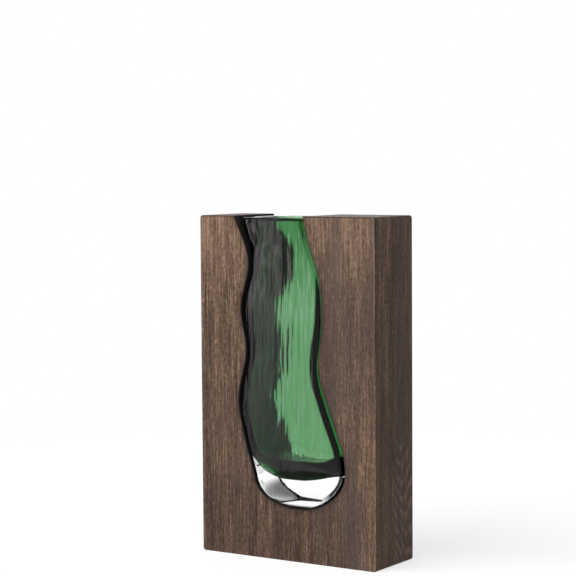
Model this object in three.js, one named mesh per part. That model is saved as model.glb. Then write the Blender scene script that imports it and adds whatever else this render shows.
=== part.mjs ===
// Wooden vase with a glass liner: a block of dark wood with a winding slot sawn through it from front to back,
// and a blown glass liner, green with a thick clear foot, that slides into the slot.
// Millimetres, +Z up. The origin is the middle of the block's underside, and the front faces -Y.

import * as THREE from "three";

// Wood block
const BLOCK_WIDTH = 120;
const BLOCK_DEPTH = 42;
const BLOCK_HEIGHT = 200;
const EASED_EDGE = 1;

// Slot: the wood left under it, where its lowest point lies, and how high each wall rounds up from the floor
const SLOT_FLOOR = 31;
const LOWEST_X = 8;
const LEFT_BOWL = 16;
const RIGHT_BOWL = 23;

// Slot walls, as bends from the floor up: the share of the slot's depth, and the wall's place across the block
const LEFT_BENDS = [
  [0, -20.5],
  [0.095, -22.1],
  [0.22, -28.4],
  [0.365, -33],
  [0.535, -27.3],
  [0.68, -31],
  [0.85, -25.4],
  [1, -35.4],
];
const RIGHT_BENDS = [
  [0, 38.3],
  [0.12, 39.4],
  [0.19, 38.5],
  [0.343, 29],
  [0.47, 21.9],
  [0.645, 24.1],
  [0.787, 22.4],
  [0.923, 14.5],
  [1, 11.8],
];

// Glass liner: its fit in the slot, its wall and rim, and its plan, squared in the body and rounder at the mouth
const SLOT_FIT = 0.35;
const GLASS_WALL = 3;
const RIM_DROP = 1;
const RIM_ROUND = 0.6;
const BODY_PROUD = 0.5;
const MOUTH_SETBACK = 1.2;
const BODY_SQUARENESS = 11;
const MOUTH_SQUARENESS = 4;
const NECK_START = 0.72;

// Clear foot: its glass under the green vessel and beside it, up to a thin lip
const FOOT_THICK = 14;
const FOOT_SIDE = 7;
const FOOT_LIP = 1.2;
const FOOT_RISE = 32;
const FOOT_ROUND = 12;
const FOOT_GRIND = 0.15;
const FOOT_GAP = 0.3;
const GREEN_ROUND = 10;

// Mesh fineness
const EDGE_STEPS = 2;
const WALL_STEPS = 22;
const BOWL_STEPS = 8;
const RING_POINTS = 32;

const SLOT_DEPTH = BLOCK_HEIGHT - SLOT_FLOOR;
const RIM_HEIGHT = BLOCK_HEIGHT - RIM_DROP;

// Bowls that close a span on its floor: rounding heights at the left, at the right, and at the front and back
const slotBowl = { floor: SLOT_FLOOR, left: LEFT_BOWL, right: RIGHT_BOWL, deep: FOOT_ROUND };
const glassBowl = { ...slotBowl, floor: SLOT_FLOOR + SLOT_FIT };
const greenBowl = {
  floor: glassBowl.floor + FOOT_THICK,
  left: GREEN_ROUND,
  right: GREEN_ROUND,
  deep: GREEN_ROUND,
};
const seatBowl = { ...greenBowl, floor: greenBowl.floor - FOOT_GAP };
const cavityBowl = { ...greenBowl, floor: greenBowl.floor + GLASS_WALL };
const FOOT_TOP = glassBowl.floor + FOOT_RISE;

// Smooth curve through a wall's bends
function bendCurve(bends) {
  const shares = bends.map(([share]) => share);
  const places = bends.map(([, place]) => place);
  return new THREE.CubicInterpolant(shares, places, 1, [0]);
}

const leftWall = bendCurve(LEFT_BENDS);
const rightWall = bendCurve(RIGHT_BENDS);

// Elliptic rounding of a bowl: 0 at its floor, 1 from its full height up
function bowlShare(rise, round) {
  const fall = Math.max(0, 1 - rise / round);
  return Math.sqrt(1 - fall * fall);
}

// Ends of the slot's outline at a height, drawn in from the walls by an inset and closed by a bowl
function slotSpan(height, inset, bowl) {
  const share = (height - SLOT_FLOOR) / SLOT_DEPTH;
  const rise = height - bowl.floor;
  const left = leftWall.evaluate(share)[0] + inset - LOWEST_X;
  const right = rightWall.evaluate(share)[0] - inset - LOWEST_X;
  return {
    left: LOWEST_X + left * bowlShare(rise, bowl.left),
    right: LOWEST_X + right * bowlShare(rise, bowl.right),
  };
}

// Even steps from one value to another, without the first
function evenSteps(low, high, steps) {
  const count = Math.round(steps);
  return Array.from({ length: count }, (_, index) => low + ((high - low) * (index + 1)) / count);
}

const ringTurns = evenSteps(0, 2 * Math.PI, RING_POINTS);

// Heights over a bowl from just above its floor, closer together where it turns
function bowlHeights(bowl) {
  const round = Math.max(bowl.left, bowl.right, bowl.deep);
  const turns = evenSteps(0, Math.PI / 2, BOWL_STEPS);
  return [bowl.floor + FOOT_GRIND, ...turns.map((turn) => bowl.floor + round * (1 - Math.cos(turn)))];
}

// Heights over a bowl and on up the wall to a top
function wallHeights(bowl, top, steps) {
  const heights = bowlHeights(bowl);
  return [...heights, ...evenSteps(heights.at(-1), top, steps)];
}

// Block outline seen from the front: rounded corners outside, and the slot open at the top
function blockOutline() {
  const half = BLOCK_WIDTH / 2;
  const round = 2 * EASED_EDGE;
  const heights = wallHeights(slotBowl, BLOCK_HEIGHT, WALL_STEPS);
  const spans = heights.map((height) => slotSpan(height, 0, slotBowl));
  const outline = new THREE.Shape();
  outline.absarc(round - half, round, round, Math.PI, 1.5 * Math.PI);
  outline.absarc(half - round, round, round, 1.5 * Math.PI, 2 * Math.PI);
  outline.absarc(half - round, BLOCK_HEIGHT - round, round, 0, 0.5 * Math.PI);
  for (let index = heights.length - 1; index >= 0; index -= 1) {
    outline.lineTo(spans[index].right, heights[index]);
  }
  heights.forEach((height, index) => outline.lineTo(spans[index].left, height));
  outline.absarc(round - half, BLOCK_HEIGHT - round, round, 0.5 * Math.PI, Math.PI);
  return outline;
}

function blockGeometry() {
  const geometry = new THREE.ExtrudeGeometry(blockOutline(), {
    depth: BLOCK_DEPTH - 2 * EASED_EDGE,
    bevelSize: EASED_EDGE,
    bevelThickness: EASED_EDGE,
    bevelOffset: -EASED_EDGE,
    bevelSegments: EDGE_STEPS,
    curveSegments: 2 * EDGE_STEPS,
  });
  geometry.rotateX(Math.PI / 2);
  geometry.translate(0, BLOCK_DEPTH / 2 - EASED_EDGE, 0);
  return geometry;
}

// How far the neck has set in at a height: 0 in the body, 1 at the rim
function neckShare(height) {
  const share = (height - SLOT_FLOOR) / SLOT_DEPTH;
  return THREE.MathUtils.smoothstep(share, NECK_START, 1);
}

// Thickness of the clear foot beside the green vessel
function footSide(height) {
  const share = Math.max(0, (height - greenBowl.floor) / (FOOT_TOP - greenBowl.floor));
  return FOOT_LIP + (FOOT_SIDE - FOOT_LIP) * (1 - share * share);
}

// How far the cavity is drawn in over the foot, fading out above it
function cavityDraw(height) {
  return FOOT_SIDE * (1 - THREE.MathUtils.smoothstep(height, greenBowl.floor, FOOT_TOP + FOOT_SIDE));
}

// One level ring of glass: a squared oval in the slot, drawn in by an inset and closed by a bowl
function glassRing(height, inset, bowl) {
  const span = slotSpan(height, SLOT_FIT + inset, bowl);
  const neck = neckShare(height);
  const proud = THREE.MathUtils.lerp(BODY_PROUD, -MOUTH_SETBACK, neck);
  const power = 2 / THREE.MathUtils.lerp(BODY_SQUARENESS, MOUTH_SQUARENESS, neck);
  const hollow = bowl.deep * (1 - bowlShare(height - bowl.floor, bowl.deep));
  const halfDepth = BLOCK_DEPTH / 2 + proud - inset - hollow;
  const halfWidth = (span.right - span.left) / 2;
  const middle = (span.right + span.left) / 2;
  return ringTurns.map((turn) => {
    const across = Math.sign(Math.cos(turn)) * Math.abs(Math.cos(turn)) ** power;
    const deep = Math.sign(Math.sin(turn)) * Math.abs(Math.sin(turn)) ** power;
    return new THREE.Vector3(middle + halfWidth * across, halfDepth * deep, height);
  });
}

// Closed skin over a stack of rings, from a flat first ring to a flat last one
function ringSkin(rings) {
  const count = ringTurns.length;
  const triangles = [];
  for (let level = 0; level + 1 < rings.length; level += 1) {
    for (let index = 0; index < count; index += 1) {
      const next = (index + 1) % count;
      const here = level * count;
      const above = here + count;
      triangles.push(here + index, here + next, above + next);
      triangles.push(here + index, above + next, above + index);
    }
  }
  const last = (rings.length - 1) * count;
  for (let index = 1; index + 1 < count; index += 1) {
    triangles.push(0, index + 1, index);
    triangles.push(last, last + index, last + index + 1);
  }
  const geometry = new THREE.BufferGeometry().setFromPoints(rings.flat());
  geometry.setIndex(triangles);
  geometry.computeVertexNormals();
  return geometry;
}

// Green vessel: up its outside over the foot's lip to the rim, and down its inside to the cavity's floor
function vesselGeometry() {
  const seat = wallHeights(greenBowl, FOOT_TOP, EDGE_STEPS);
  const outside = evenSteps(FOOT_TOP, RIM_HEIGHT - RIM_ROUND, WALL_STEPS);
  const inside = wallHeights(cavityBowl, RIM_HEIGHT - RIM_ROUND, WALL_STEPS).reverse();
  return ringSkin([
    ...seat.map((height) => glassRing(height, footSide(height), greenBowl)),
    glassRing(FOOT_TOP, 0, glassBowl),
    ...outside.map((height) => glassRing(height, 0, glassBowl)),
    glassRing(RIM_HEIGHT, RIM_ROUND, glassBowl),
    glassRing(RIM_HEIGHT, GLASS_WALL - RIM_ROUND, glassBowl),
    ...inside.map((height) => glassRing(height, GLASS_WALL + cavityDraw(height), cavityBowl)),
  ]);
}

// Clear foot: up its outside to the lip, and down its inside, clear of the green vessel
function footGeometry() {
  const lip = FOOT_TOP - FOOT_GAP;
  const outside = wallHeights(glassBowl, lip, EDGE_STEPS);
  const inside = wallHeights(seatBowl, lip, EDGE_STEPS).reverse();
  return ringSkin([
    ...outside.map((height) => glassRing(height, 0, glassBowl)),
    ...inside.map((height) => glassRing(height, footSide(height) - FOOT_GAP, seatBowl)),
  ]);
}

function piece(name, geometry, finish) {
  const mesh = new THREE.Mesh(geometry, new THREE.MeshStandardMaterial({ metalness: 0, ...finish }));
  mesh.name = name;
  return mesh;
}

const liner = new THREE.Group();
liner.add(piece("green_glass_vessel", vesselGeometry(), { color: 0x62a86e, roughness: 0.05 }));
liner.add(piece("clear_glass_foot", footGeometry(), { color: 0xe6eee8, roughness: 0.05 }));

const vase = new THREE.Group();
vase.add(piece("wood_block", blockGeometry(), { color: 0x735f53, roughness: 0.6 }));
vase.add(liner);

export default vase;
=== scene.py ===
# Wooden vase with a glass liner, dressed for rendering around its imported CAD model.
# Metres, +Z up, front towards -Y, origin in the middle of the block's underside.

import math
from typing import NamedTuple

import bmesh
import bpy
import numpy as np
from mathutils import Matrix, Vector


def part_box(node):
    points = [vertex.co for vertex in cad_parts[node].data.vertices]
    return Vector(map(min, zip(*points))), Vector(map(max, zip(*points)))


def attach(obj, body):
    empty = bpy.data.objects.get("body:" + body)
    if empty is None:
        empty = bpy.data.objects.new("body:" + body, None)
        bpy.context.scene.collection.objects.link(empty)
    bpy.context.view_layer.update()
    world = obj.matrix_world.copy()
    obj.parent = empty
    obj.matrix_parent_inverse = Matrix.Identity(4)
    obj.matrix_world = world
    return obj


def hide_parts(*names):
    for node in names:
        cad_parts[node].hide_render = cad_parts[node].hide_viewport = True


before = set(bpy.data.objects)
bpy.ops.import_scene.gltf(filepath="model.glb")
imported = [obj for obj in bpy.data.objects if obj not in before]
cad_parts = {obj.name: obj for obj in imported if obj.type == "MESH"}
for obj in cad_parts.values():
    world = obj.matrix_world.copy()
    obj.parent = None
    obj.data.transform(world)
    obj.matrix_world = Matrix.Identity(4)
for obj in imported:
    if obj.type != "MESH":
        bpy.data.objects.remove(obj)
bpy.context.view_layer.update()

bl_info = {
    "name": "Wooden vase with glass liner",
    "version": (1, 0, 0),
    "blender": (4, 5, 0),
    "location": "View3D > Sidebar > Vase",
    "description": "Models the wood block, the green glass vessel and its clear foot in the CAD frame",
    "category": "Object",
}

MM = 0.001
HAIR = 0.02 * MM

BLOCK_LOW, BLOCK_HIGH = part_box("wood_block")
GREEN_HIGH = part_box("green_glass_vessel")[1]
FOOT_LOW, FOOT_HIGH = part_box("clear_glass_foot")

# Fineness of the meshes
CORNER_STEPS = 8
SIDE_CUTS = 5
EDGE_STEPS = 4
SAW_STEPS = 90
WALL_POINTS = 300
FLOOR_POINTS = 20
VESSEL_END_STEPS = 7
FOOT_END_STEPS = 9
VESSEL_STEP = 4 * MM
FOOT_STEP = 2 * MM
COVER_STEP = 1.5 * MM
SMOOTH_LEVELS = 1

# Angles between faces: sharp edges of the wood are rounded, and creases stay in the shading
SHARP_ANGLE = math.radians(40)
WOOD_CREASE = math.radians(35)
GLASS_CREASE = math.radians(60)

# Part of a face's normal that points to the front or back, from which the face counts as flat
FLAT_FACE = 0.999

# Turns where a rounded end starts and where a rounded rim has its rings
END_START = math.radians(8)
RIM_TURNS = [math.radians(turn) for turn in (25, 50, 75, 90)]

# First tilt of a level ring round each axis, which is then stretched to the ring's own lean
FIRST_LEAN = {"X": math.radians(5), "Y": math.radians(-5)}

# Block: how far the saw passes it, how far in its outer edges lie, and the fields cut round the slot
SAW_PAST = 6 * MM
OUTLINE_REACH = 2.5 * MM
FIELD = 48 * MM
FIELD_FOOT = 15 * MM
FIELD_STEP = 6 * MM

# Glass: slope of the rim, place of the lower end, and the heights over which its forms fade out
RIM_SLOPE = 0.25 * MM
RIM_REACH = 22 * MM
BOWL_SHIFT = -6 * MM
LEAN_START = 3 * MM
LEAN_FADE = 25 * MM
NECK_LEAD = 20 * MM
COVER_REACH = 10 * MM
COVER_POWER = 2.2
ROOM_START = 20 * MM
ROOM_END = 80 * MM

# Stage: the floor, the lamp's direction, and the camera's place and angles
FLOOR_RADIUS = 0.5
FLOOR_SIDES = 64
LAMP_FROM = (-0.5, -0.8, 0.5)
SENSOR_WIDTH = 36
CAMERA_PLACE = (0.59339, -0.91882, 0.23201)
CAMERA_TURN = math.radians(33.376)
CAMERA_TILT = math.radians(90 - 3.897)
CAMERA_ROLL = math.radians(-0.393)

# Panels that the glass mirrors: ends in degrees left of the front, heights as a direction's upward part
DARK_LIGHT = 0.1
PANEL_END = (47, 54)
PANEL_LIGHT = 0.6
VEIL_START = (24, 36)
VEIL_LIGHT = 0.8
VEIL_RISE = 1.4
VEIL_HEIGHT = (-0.17, 0)
BARS_PER_TURN = 22.5
BARS_START = 0.785
BARS_LIGHT = 0.5
BARS_RISE = 0.45
BARS_HEIGHT = (-0.1, 0)
STRIP_START = (75, 80)
STRIP_END = (110, 120)
STRIP_TOP = (-0.2, -0.15)
STRIP_LIGHT = 5
BEHIND_LIGHT = 1.5
CEILING_HEIGHT = (0.28, 0.6)
CEILING_DIM = 0.85


# Slot walls, read from the sawn outline of the CAD block


def sawn_outline():
    """Heights from the slot's floor up, and the places of its left and right wall there."""
    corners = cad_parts["wood_block"].data.vertices
    straight_end = max(v.co.y for v in corners if BLOCK_HIGH.x - v.co.x < HAIR)
    margin = 3 * (BLOCK_HIGH.y - straight_end)
    points = {
        (round(v.co.z, 6), round(v.co.x, 6))
        for v in corners
        if abs(v.co.y - straight_end) < HAIR
        and v.co.z > BLOCK_LOW.z + margin
        and abs(v.co.x) < BLOCK_HIGH.x - margin
    }
    levels = {}
    for height, place in points:
        levels.setdefault(height, []).append(place)
    heights = sorted(height for height in levels if len(levels[height]) == 2)
    left = [min(levels[height]) for height in heights]
    right = [max(levels[height]) for height in heights]
    return np.array(heights), np.array(left), np.array(right)


class SmoothCurve:
    """A curve without corners through points whose places rise."""

    def __init__(self, places, values):
        self.places = np.asarray(places, float)
        self.values = np.asarray(values, float)
        self.slopes = np.gradient(self.values, self.places)

    def __call__(self, place):
        last = len(self.places) - 2
        i = min(max(int(np.searchsorted(self.places, place)) - 1, 0), last)
        step = self.places[i + 1] - self.places[i]
        t = min(max((place - self.places[i]) / step, 0), 1)
        start = (1 + 2 * t) * (1 - t) ** 2 * self.values[i]
        end = t * t * (3 - 2 * t) * self.values[i + 1]
        lean_in = t * (1 - t) ** 2 * step * self.slopes[i]
        lean_out = t * t * (t - 1) * step * self.slopes[i + 1]
        return float(start + end + lean_in + lean_out)


SLOT_HEIGHTS, SLOT_LEFT, SLOT_RIGHT = sawn_outline()
SLOT_FLOOR = SLOT_HEIGHTS[0]
SLOT_MIDDLE = (SLOT_LEFT[0] + SLOT_RIGHT[0]) / 2
SLOT_RISES = np.sqrt(SLOT_HEIGHTS - SLOT_FLOOR)
LEFT_WALL = SmoothCurve(SLOT_RISES, SLOT_LEFT)
RIGHT_WALL = SmoothCurve(SLOT_RISES, SLOT_RIGHT)


def slot_span(height):
    """Places of the slot's left and right wall at a height."""
    rise = math.sqrt(max(0, height - SLOT_FLOOR))
    return LEFT_WALL(rise), RIGHT_WALL(rise)


# Sizes and colours that a user would change


def length(name, description, millimetres):
    """A length, given in millimetres and kept in metres."""
    return bpy.props.FloatProperty(
        name=name, description=description, default=millimetres * MM, unit="LENGTH", precision=5
    )


def share(name, description, default):
    """A share from 0 to 1."""
    return bpy.props.FloatProperty(
        name=name, description=description, default=default, min=0, max=1, subtype="FACTOR"
    )


def colour(name, description, default):
    """A colour."""
    return bpy.props.FloatVectorProperty(
        name=name, description=description, default=default, size=3, min=0, max=1, subtype="COLOR"
    )


class VaseBlockSettings(bpy.types.PropertyGroup):
    """The wood block"""

    corner_round: length("Corner round", "Rounding of the four corners seen from the front", 1.8)
    eased_edge: length("Eased edge", "Rounding of the outer edges", 0.7)
    slot_edge: length("Slot edge", "Rounding of the charred edges of the slot", 0.5)
    soot_spread: length("Soot spread", "How far the char fades out over the faces", 0.35)
    singe_spread: length("Singe spread", "How far the wood beside the char is singed", 3.5)
    ring_width: length("Ring width", "Width of one year ring", 2.6)
    darkest: colour("Darkest", "Colour of the pores", (0.045, 0.028, 0.020))
    dark: colour("Dark", "Colour of the dark streaks", (0.092, 0.058, 0.042))
    brown: colour("Brown", "Main colour of the wood", (0.146, 0.091, 0.060))
    pale: colour("Pale", "Colour of the pale streaks", (0.37, 0.236, 0.166))
    grey: colour("Grey", "Colour of the weathered streaks", (0.112, 0.086, 0.073))
    char: colour("Char", "Colour of the charred slot", (0.0105, 0.0088, 0.0082))


class VaseGreenSettings(bpy.types.PropertyGroup):
    """The green glass vessel"""

    slot_fit: length("Slot fit", "Room between the glass and the slot's walls", 0.35)
    face_wall: length("Face wall", "Thickness of the glass at the front and back", 2.6)
    left_wall: length("Left wall", "Thickness of the glass at the left", 3)
    neck_wall: length("Neck wall", "Thickness of the glass at the right of the neck", 3)
    rim_wall: length("Rim wall", "Thickness of the glass at the right of the rim", 3.6)
    body_wall: length("Body wall", "Thickness of the glass at the right of the body", 5.5)
    rim_round: length("Rim round", "Rounding of the rim's two edges", 1.1)
    mouth_setback: length("Mouth setback", "How far the mouth lies behind the body's front", 1.7)
    foot_room: length("Foot room", "Wider room between the glass and the slot at the lower right", 1.4)
    floor_wall: length("Floor wall", "Thickness of the green glass under the cavity", 8)
    corner: share("Corner", "Rounding of the plan's corners, as a share of its width", 0.05)
    inner_corner: share("Inner corner", "Rounding of the cavity's corners, as a share of its width", 0.05)
    belly: share("Belly", "How far the sides of the plan belly out", 0.06)
    mouth_round: share("Mouth round", "How much rounder the plan is at the mouth", 0.3)
    inner_round: share("Inner round", "How much rounder the cavity is at the mouth", 0.82)
    neck_start: share("Neck start", "Share of the slot's depth where the neck begins", 0.65)
    left_round: length("Left round", "Rounding of the vessel's lower end at the left", 11)
    right_round: length("Right round", "Rounding of the vessel's lower end at the right", 11)
    deep_round: length("Deep round", "Rounding of the vessel's lower end at the front and back", 2)
    inner_end_round: length("Inner end round", "Rounding of the cavity's lower end at its sides", 6)
    floor_lean: length("Floor lean", "How far the cavity's floor climbs in front and falls behind", 2)
    tint: colour("Tint", "Colour that the glass lets through", (0.24, 0.61, 0.3))
    tint_density: bpy.props.FloatProperty(
        name="Tint density", description="Strength of the tint per metre of glass", default=480
    )


class VaseFootSettings(bpy.types.PropertyGroup):
    """The clear glass foot"""

    thick: length("Thickness", "Clear glass under the green vessel", 15.5)
    left_side: length("Left side", "Clear glass at the left of the green vessel's lower end", 3)
    right_side: length("Right side", "Clear glass at the right of the green vessel's lower end", 1.5)
    face_side: length("Face side", "Clear glass before and behind the green vessel's lower end", 3)
    lip: length("Lip", "Thickness at the feathered upper lip", 0.02)
    lip_drop: length("Lip drop", "How far the middle of the lip lies under the top of the CAD foot", 3.5)
    lip_lean: length("Lip lean", "How far the lip climbs at the left and falls at the right", 5.5)
    end_round: length("End round", "Rounding of the foot's lower edge at the front and back", 5.8)
    overlap: length("Overlap", "How far the fused glasses reach into each other", 0.05)


class VaseStageSettings(bpy.types.PropertyGroup):
    """The floor, light and camera"""

    floor: colour("Floor", "Colour of the floor", (0.5, 0.5, 0.5))
    glow: share("Glow", "Brightness that the floor shows of its own, so that it looks white", 0.68)
    fill: share("Fill", "Brightness of the light from all around", 0.36)
    key_strength: bpy.props.FloatProperty(
        name="Key strength", description="Strength of the wide lamp at the left", default=2.5
    )
    key_spread: bpy.props.FloatProperty(
        name="Key spread", description="How wide the lamp is", default=math.radians(70), subtype="ANGLE"
    )
    lens: bpy.props.FloatProperty(
        name="Lens", description="Focal length on a 36 mm sensor", default=117.36, subtype="DISTANCE_CAMERA"
    )


# Shader maths


class Tone:
    """A shader value that takes part in sums. Each operator adds a Math node."""

    def __init__(self, paint, socket):
        self.paint = paint
        self.socket = socket

    def maths(self, operation, *terms):
        """A Math node's value for some terms."""
        return self.paint.node("ShaderNodeMath", {"operation": operation}, dict(enumerate(terms)))

    def __add__(self, other):
        return self.maths("ADD", self, other)

    __radd__ = __add__

    def __sub__(self, other):
        return self.maths("SUBTRACT", self, other)

    def __rsub__(self, other):
        return self.maths("SUBTRACT", other, self)

    def __mul__(self, other):
        return self.maths("MULTIPLY", self, other)

    __rmul__ = __mul__

    def __truediv__(self, other):
        return self.maths("DIVIDE", self, other)

    def __pow__(self, other):
        return self.maths("POWER", self, other)

    def __abs__(self):
        return self.maths("ABSOLUTE", self)

    def over(self, low, high):
        """0 below low, 1 above high, and a soft step between them."""
        return self.paint.node(
            "ShaderNodeMapRange",
            {"interpolation_type": "SMOOTHSTEP"},
            {"Value": self, "From Min": low, "From Max": high},
        )


class Grain(NamedTuple):
    """Upright noise: the width and height of its lumps, how fine it is, and where it starts."""

    width: float
    height: float
    detail: int
    start: tuple = (0, 0, 0)


GRAIN_ROUGHNESS = 0.55
SLOT_REACH = "slot_reach"


class Paint:
    """A node tree of a material or of the world, built up node by node."""

    def __init__(self, tree):
        self.tree = tree
        tree.nodes.clear()

    def node(self, kind, settings=None, sockets=None, output=0):
        """Adds a node, with its settings first and then the values or links of its sockets."""
        node = self.tree.nodes.new(kind)
        for name, value in (settings or {}).items():
            if name == "stops":
                self.set_stops(node.color_ramp, value)
            else:
                setattr(node, name, value)
        for name, value in (sockets or {}).items():
            socket = node.inputs[name]
            if isinstance(value, Tone):
                self.tree.links.new(value.socket, socket)
            elif isinstance(value, (int, float)):
                socket.default_value = value
            else:
                value = tuple(value)
                socket.default_value = value + (1,) if len(socket.default_value) > len(value) else value
        return Tone(self, node.outputs[output]) if node.outputs else None

    def set_stops(self, ramp, stops):
        """Gives a ramp its stops, each a place and a colour."""
        while len(ramp.elements) < len(stops):
            ramp.elements.new(0.5)
        for element, (place, shade) in zip(ramp.elements, stops):
            element.position = place
            element.color = (*shade, 1)

    def place(self):
        """The point on the piece, in metres."""
        return self.node("ShaderNodeTexCoord", output="Object")

    def part(self, vector, axis):
        """One part of a vector."""
        return self.node("ShaderNodeSeparateXYZ", None, {0: vector}, output=axis)

    def reach(self):
        """How far the point lies from the slot's outline, as mark_reach keeps it."""
        return self.node("ShaderNodeAttribute", {"attribute_name": SLOT_REACH}, output="Fac")

    def noise(self, point, grain):
        """Noise from 0 to 1 with the lumps of a grain."""
        scale = (1 / grain.width, 1 / grain.width, 1 / grain.height)
        stretched = self.node(
            "ShaderNodeMapping",
            {"vector_type": "POINT"},
            {"Vector": point, "Scale": scale, "Location": grain.start},
        )
        return self.node(
            "ShaderNodeTexNoise",
            None,
            {"Vector": stretched, "Scale": 1, "Detail": grain.detail, "Roughness": GRAIN_ROUGHNESS},
        )

    def blend(self, amount, first, second):
        """A colour between two colours."""
        settings = {"data_type": "RGBA", "blend_type": "MIX", "clamp_factor": True}
        return self.node("ShaderNodeMix", settings, {"Factor": amount, 6: first, 7: second}, output=2)


def new_paint(name):
    """A fresh material and its node tree."""
    material = bpy.data.materials.new(name)
    material.use_nodes = True
    return material, Paint(material.node_tree)


# Wood finish

WOOD_GRAIN = {
    "wander": Grain(30 * MM, 130 * MM, 2),
    "broad": Grain(20 * MM, 130 * MM, 2, (3, 0, 0)),
    "band": Grain(6 * MM, 120 * MM, 2, (0, 5, 0)),
    "thread": Grain(0.9 * MM, 18 * MM, 2, (0, 0, 7)),
    "fleck": Grain(0.8 * MM, 2.6 * MM, 2, (2, 9, 1)),
    "rays": Grain(2.2 * MM, 0.8 * MM, 1, (6, 3, 2)),
    "pale_line": Grain(0.9 * MM, 20 * MM, 1, (8, 1, 4)),
    "dark_line": Grain(0.9 * MM, 80 * MM, 1, (1, 7, 3)),
    "pore": Grain(0.6 * MM, 6 * MM, 1, (5, 5, 9)),
    "speckle": Grain(0.7 * MM, 0.7 * MM, 1, (4, 6, 8)),
    "soot": Grain(2 * MM, 10 * MM, 2, (1, 2, 3)),
}

# Tone of plain wood, and how much each grain shifts it
PLAIN_TONE = 0.53
TONE_SHIFTS = {"band": 0.9, "thread": 0.9, "fleck": 0.9, "rays": 0.3}

# How much rings, pores, long lines, and the high and the low part of the block shift it; the paler top is a
# painted light and the darker foot a painted shade, for light that falls off down the block
RING_SHIFT = 0.07
PORE_SHIFT = 0.24
PALE_LINE_SHIFT = 0.22
DARK_LINE_SHIFT = 0.3
PAINTED_TOP_LIGHT = 0.17
PAINTED_FOOT_SHADE = 0.18

# Year rings: where the pith lies, rings lost per metre of height, and how many they wander
PITH_X = -160 * MM
PITH_Y = 6 * MM
RING_LEAN = 1.5
RING_WANDER = 4

# Arches on the sides: height of one, place and lean of their crown, how they bend and where they end
ARCH_HEIGHT = 15 * MM
CROWN_PLACE = 25 * MM
CROWN_LEAN = 0.25
ARCH_BEND = 6500
ARCH_END = (55 * MM, 85 * MM)

# Places between which each part of the block sets in or ends, the high part measured from the top
RIGHT_START = (5 * MM, 45 * MM)
LOW_END = (20 * MM, 65 * MM)
MIDDLE_START = (80 * MM, 100 * MM)
MIDDLE_END = (140 * MM, 190 * MM)
HIGH_DEPTH = 70 * MM
HEART_START = (-4 * MM, 2 * MM)
HEART_BACK = (6 * MM, 18 * MM)
HEART_WANDER = 10 * MM

# End grain, brighter than the grey wood, partly a painted light on the top; soot, brighter than the char,
# and a painted light on the char near the faces; and how far the layers cover
END_GRAIN_TONE_AND_PAINTED_LIGHT = 1.6
SOOT_LIGHT = 2.2
PAINTED_LIGHT_ON_CHAR = 2.8
PAINTED_CHAR_LIGHT_DEPTH = (6 * MM, 2 * MM)
END_GRAIN_COVER = 0.85
BRIM_COVER = 0.7
SINGE_COVER = 0.35

WOOD_ROUGHNESS = 0.55
WOOD_GLOSS = 0.12
WOOD_RELIEF = 0.2 * MM


class WoodMap:
    """What the wood is like at a point: its grain, its year ring and the part of the block."""

    def __init__(self, paint, block):
        point = paint.place()
        self.x, self.y, self.z = (paint.part(point, axis) for axis in "XYZ")
        self.grain = {name: paint.noise(point, grain) for name, grain in WOOD_GRAIN.items()}
        self.reach = paint.reach()
        self.edge = block.eased_edge
        self.char_end = block.slot_edge + block.soot_spread
        self.grow_rings(block)
        self.divide_block()
        self.burn_slot(block)

    def grow_rings(self, block):
        """Year rings round a pith far to the left, leaning a little, with pores in the early wood."""
        from_pith = ((self.x - PITH_X) ** 2 + (self.y - PITH_Y) ** 2) ** 0.5
        ring = from_pith / block.ring_width - self.z * RING_LEAN + self.grain["wander"] * RING_WANDER
        phase = ring.maths("FRACT", ring)
        self.early = 1 - phase.over(0.05, 0.5)
        self.late_line = phase.over(0.82, 0.97)
        self.pores = self.grain["pore"].over(0.55, 0.68) * (0.35 + 0.65 * self.early)

    def divide_block(self):
        """Parts of the block: its sides and their heart, the right of its faces, and three heights."""
        self.side = abs(self.x).over(BLOCK_HIGH.x - self.edge, BLOCK_HIGH.x - self.edge * 0.5)
        heart_edge = self.y + (self.grain["band"] - 0.5) * HEART_WANDER
        self.heart = self.side * heart_edge.over(*HEART_START)
        self.right = self.x.over(*RIGHT_START) * (1 - self.side)
        self.low = 1 - self.z.over(*LOW_END)
        self.middle = self.z.over(*MIDDLE_START) * (1 - self.z.over(*MIDDLE_END) * 0.7)
        self.high = self.z.over(BLOCK_HIGH.z - HIGH_DEPTH, BLOCK_HIGH.z)

    def burn_slot(self, block):
        """The charred slot with its ragged edge."""
        ragged = self.reach + (0.5 - self.grain["soot"]) * block.soot_spread * 0.5
        self.charred = 1 - ragged.over(block.slot_edge + block.soot_spread * 0.2, self.char_end)


def face_tone(wood):
    """How pale the wood is, darker at the right of the faces, with a painted light along the top and a
    painted shade along the foot.
    """
    tone = PLAIN_TONE
    for name, shift in TONE_SHIFTS.items():
        tone = tone + (wood.grain[name] - 0.5) * shift
    tone = tone + (wood.late_line - wood.early) * RING_SHIFT - wood.pores * PORE_SHIFT
    tone = tone + wood.grain["pale_line"].over(0.6, 0.75) * PALE_LINE_SHIFT
    tone = tone - wood.grain["dark_line"].over(0.64, 0.74) * DARK_LINE_SHIFT
    right = wood.right * (0.05 + wood.middle * 0.09 - wood.low * 0.1 - wood.high * 0.12)
    # Painted light along the top and painted shade along the foot, for light that falls off down the block
    return tone + wood.high * PAINTED_TOP_LIGHT - wood.low * PAINTED_FOOT_SHADE - right


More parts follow.
